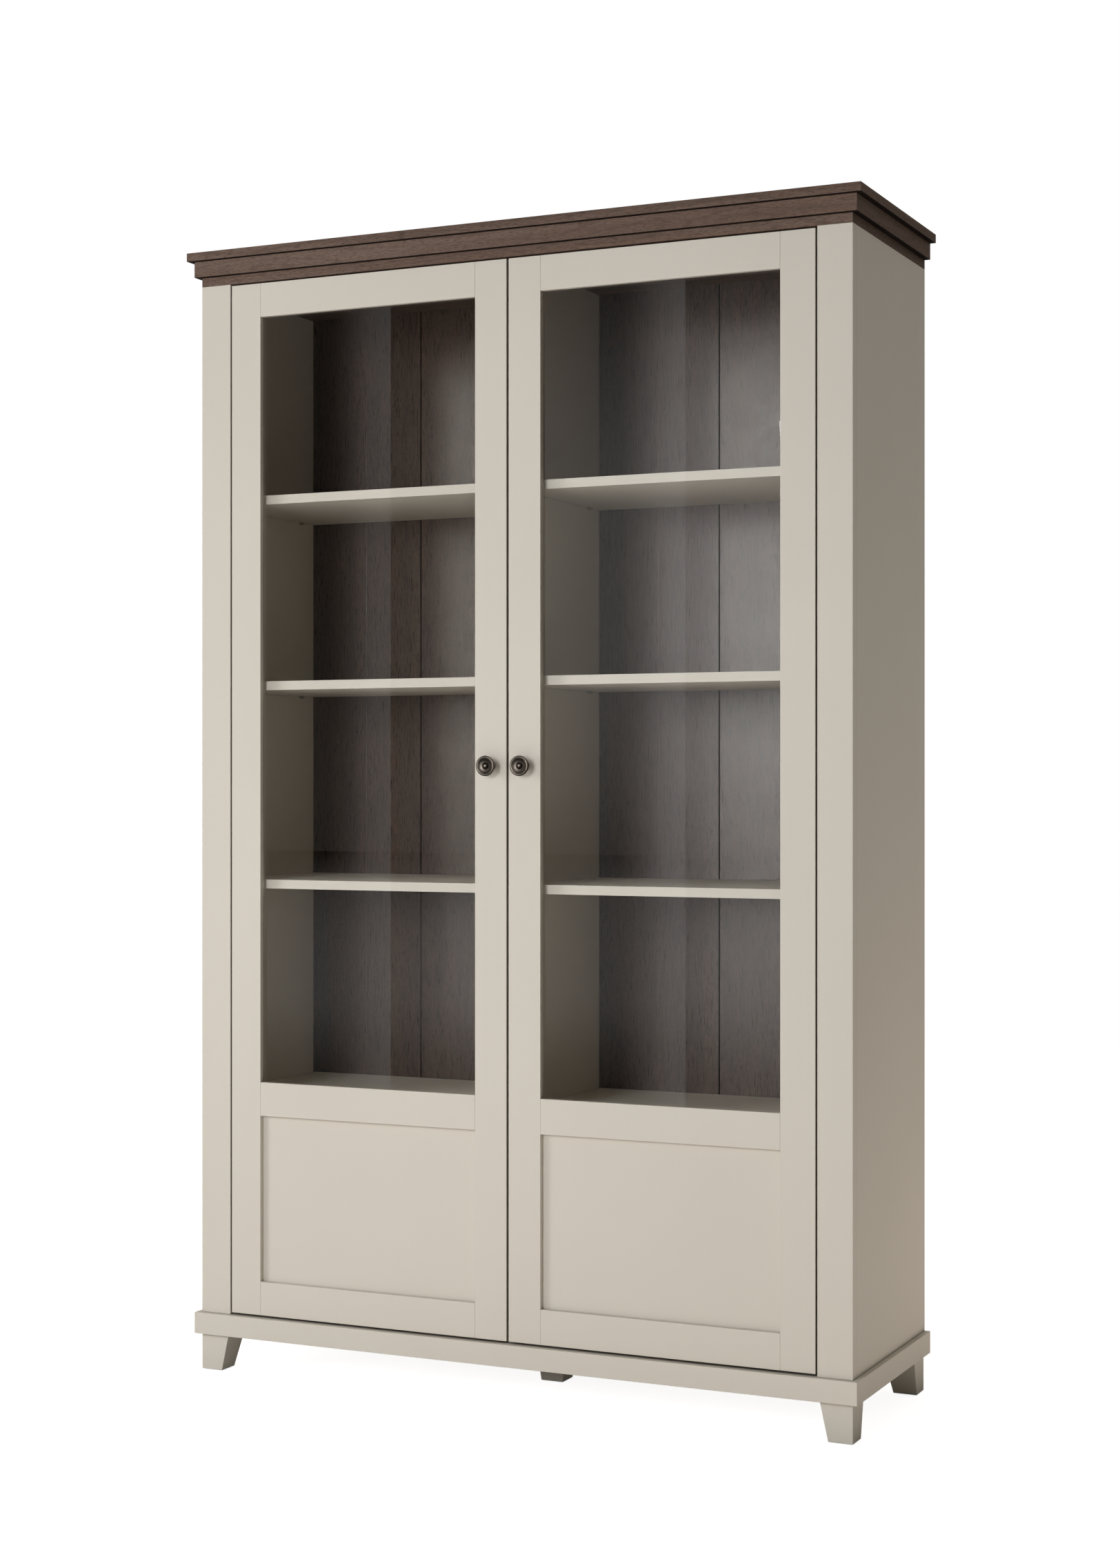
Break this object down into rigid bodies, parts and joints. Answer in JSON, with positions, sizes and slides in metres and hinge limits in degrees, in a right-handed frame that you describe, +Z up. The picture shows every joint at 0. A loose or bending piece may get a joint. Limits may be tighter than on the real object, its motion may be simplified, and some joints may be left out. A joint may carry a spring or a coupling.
{
  "type": "bookcase with glass doors",
  "caption": "Tall display bookcase with hinged glass doors over solid lower panels, shelves inside, a stepped dark wood-grain cornice and a plinth on short tapered feet.",
  "frame": {"origin": "point of the floor under the middle of the cabinet, on the underside of the centre foot's glide", "axes": "+X along the width, to the right as seen from the front, +Y from the doors towards the back, +Z up"},
  "size_m": [1.268, 0.424, 2.012],
  "materials": {
    "cashmere_lacquer": "matt cashmere lacquer on board",
    "dark_oak_decor": "dark oak wood-grain decor",
    "clear_glass": "clear float glass",
    "antique_bronze": "antique bronze plating",
    "plated_steel": "nickel-plated steel",
    "beech": "plain beech",
    "black_plastic": "black plastic",
    "clear_plastic": "translucent plastic"
  },
  "bodies": {
    "carcass": {"bottom_panel": "cashmere_lacquer", "carcass_dowels": "beech", "centre_foot": "cashmere_lacquer", "centre_partition": "cashmere_lacquer", "cornice_board": "dark_oak_decor", "door_bumpers": "clear_plastic", "foot_bolts": "plated_steel", "foot_glides": "black_plastic", "frieze_board": "dark_oak_decor", "front_left_foot": "cashmere_lacquer", "front_right_foot": "cashmere_lacquer", "hinge_arms": "plated_steel", "hinge_plates": "plated_steel", "left_back_panel": "dark_oak_decor", "left_fixed_shelf": "cashmere_lacquer", "left_lower_shelf": "cashmere_lacquer", "left_middle_shelf": "cashmere_lacquer", "left_pilaster": "cashmere_lacquer", "left_side_panel": "cashmere_lacquer", "left_upper_shelf": "cashmere_lacquer", "plinth_back_rail": "cashmere_lacquer", "plinth_centre_rail": "cashmere_lacquer", "plinth_front_rail": "cashmere_lacquer", "plinth_left_rail": "cashmere_lacquer", "plinth_right_rail": "cashmere_lacquer", "rear_left_foot": "cashmere_lacquer", "rear_right_foot": "cashmere_lacquer", "right_back_panel": "dark_oak_decor", "right_fixed_shelf": "cashmere_lacquer", "right_lower_shelf": "cashmere_lacquer", "right_middle_shelf": "cashmere_lacquer", "right_pilaster": "cashmere_lacquer", "right_side_panel": "cashmere_lacquer", "right_upper_shelf": "cashmere_lacquer", "shelf_pins": "plated_steel", "top_panel": "dark_oak_decor"},
    "left_door": {"left_door_bottom_rail": "cashmere_lacquer", "left_door_glass": "clear_glass", "left_door_glazing_beads": "cashmere_lacquer", "left_door_hinge_stile": "cashmere_lacquer", "left_door_lock_stile": "cashmere_lacquer", "left_door_lower_panel": "cashmere_lacquer", "left_door_mid_rail": "cashmere_lacquer", "left_door_top_rail": "cashmere_lacquer", "left_hinge_cups": "plated_steel", "left_hinge_pins": "plated_steel", "left_knob": "antique_bronze", "left_knob_screw": "plated_steel"},
    "right_door": {"right_door_bottom_rail": "cashmere_lacquer", "right_door_glass": "clear_glass", "right_door_glazing_beads": "cashmere_lacquer", "right_door_hinge_stile": "cashmere_lacquer", "right_door_lock_stile": "cashmere_lacquer", "right_door_lower_panel": "cashmere_lacquer", "right_door_mid_rail": "cashmere_lacquer", "right_door_top_rail": "cashmere_lacquer", "right_hinge_cups": "plated_steel", "right_hinge_pins": "plated_steel", "right_knob": "antique_bronze", "right_knob_screw": "plated_steel"}
  },
  "joints": [
    {"name": "left_door_hinge", "type": "hinge", "parent": "carcass", "child": "left_door", "pos_m": [-0.539, -0.192, 1.029], "axis": [0, 0, -1], "range_deg": [0, 95]},
    {"name": "right_door_hinge", "type": "hinge", "parent": "carcass", "child": "right_door", "pos_m": [0.539, -0.192, 1.029], "axis": [0, 0, 1], "range_deg": [0, 95]}
  ]
}
